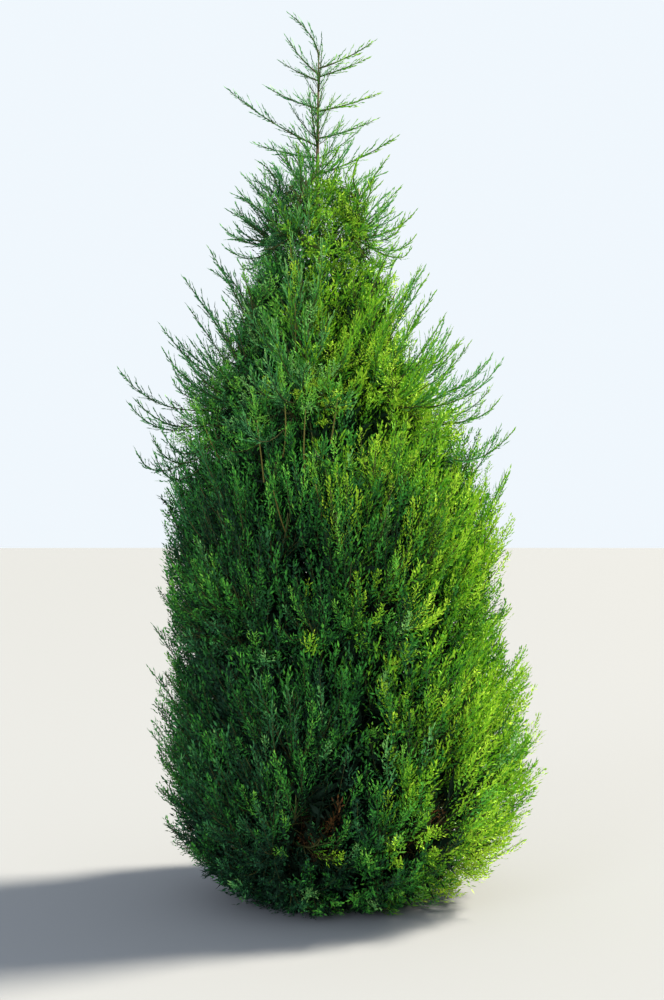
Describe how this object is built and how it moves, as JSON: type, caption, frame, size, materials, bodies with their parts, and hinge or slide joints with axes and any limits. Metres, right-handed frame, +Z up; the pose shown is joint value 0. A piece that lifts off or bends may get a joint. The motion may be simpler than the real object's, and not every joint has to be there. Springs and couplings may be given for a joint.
{
  "type": "eastern red cedar",
  "caption": "Young eastern red cedar: a flame-shaped evergreen crown of steep, feathery sprays down to the ground, round a straight trunk with an open, wispy top.",
  "frame": {"origin": "middle of the trunk's flat cut at ground level", "axes": "+Z up along the trunk, -Y the front that the picture shows, +X to the right of that front"},
  "size_m": [1.6925, 1.5988, 3.6096],
  "materials": {
    "bark": "fibrous, shreddy, matt",
    "foliage": "soft scale leaves, matt"
  },
  "bodies": {
    "root": {"bough_flank_1": "bark", "bough_flank_2": "bark", "bough_flank_3": "bark", "bough_flank_4": "bark", "bough_flank_5": "bark", "bough_flank_6": "bark", "bough_neck_1": "bark", "bough_neck_2": "bark", "bough_neck_3": "bark", "bough_neck_4": "bark", "bough_shoulder_1": "bark", "bough_shoulder_2": "bark", "bough_shoulder_3": "bark", "bough_shoulder_4": "bark", "bough_shoulder_5": "bark", "bough_shoulder_6": "bark", "bough_skirt_1": "bark", "bough_skirt_2": "bark", "bough_skirt_3": "bark", "bough_skirt_4": "bark", "bough_skirt_5": "bark", "bough_skirt_6": "bark", "foliage_flank_1": "foliage", "foliage_flank_2": "foliage", "foliage_flank_3": "foliage", "foliage_flank_4": "foliage", "foliage_flank_5": "foliage", "foliage_flank_6": "foliage", "foliage_leader_1": "foliage", "foliage_leader_10": "foliage", "foliage_leader_11": "foliage", "foliage_leader_12": "foliage", "foliage_leader_13": "foliage", "foliage_leader_2": "foliage", "foliage_leader_3": "foliage", "foliage_leader_4": "foliage", "foliage_leader_5": "foliage", "foliage_leader_6": "foliage", "foliage_leader_7": "foliage", "foliage_leader_8": "foliage", "foliage_leader_9": "foliage", "foliage_neck_1": "foliage", "foliage_neck_2": "foliage", "foliage_neck_3": "foliage", "foliage_neck_4": "foliage", "foliage_shoulder_1": "foliage", "foliage_shoulder_2": "foliage", "foliage_shoulder_3": "foliage", "foliage_shoulder_4": "foliage", "foliage_shoulder_5": "foliage", "foliage_shoulder_6": "foliage", "foliage_skirt_1": "foliage", "foliage_skirt_2": "foliage", "foliage_skirt_3": "foliage", "foliage_skirt_4": "foliage", "foliage_skirt_5": "foliage", "foliage_skirt_6": "foliage", "foliage_tip": "foliage", "trunk": "bark"}
  },
  "joints": []
}
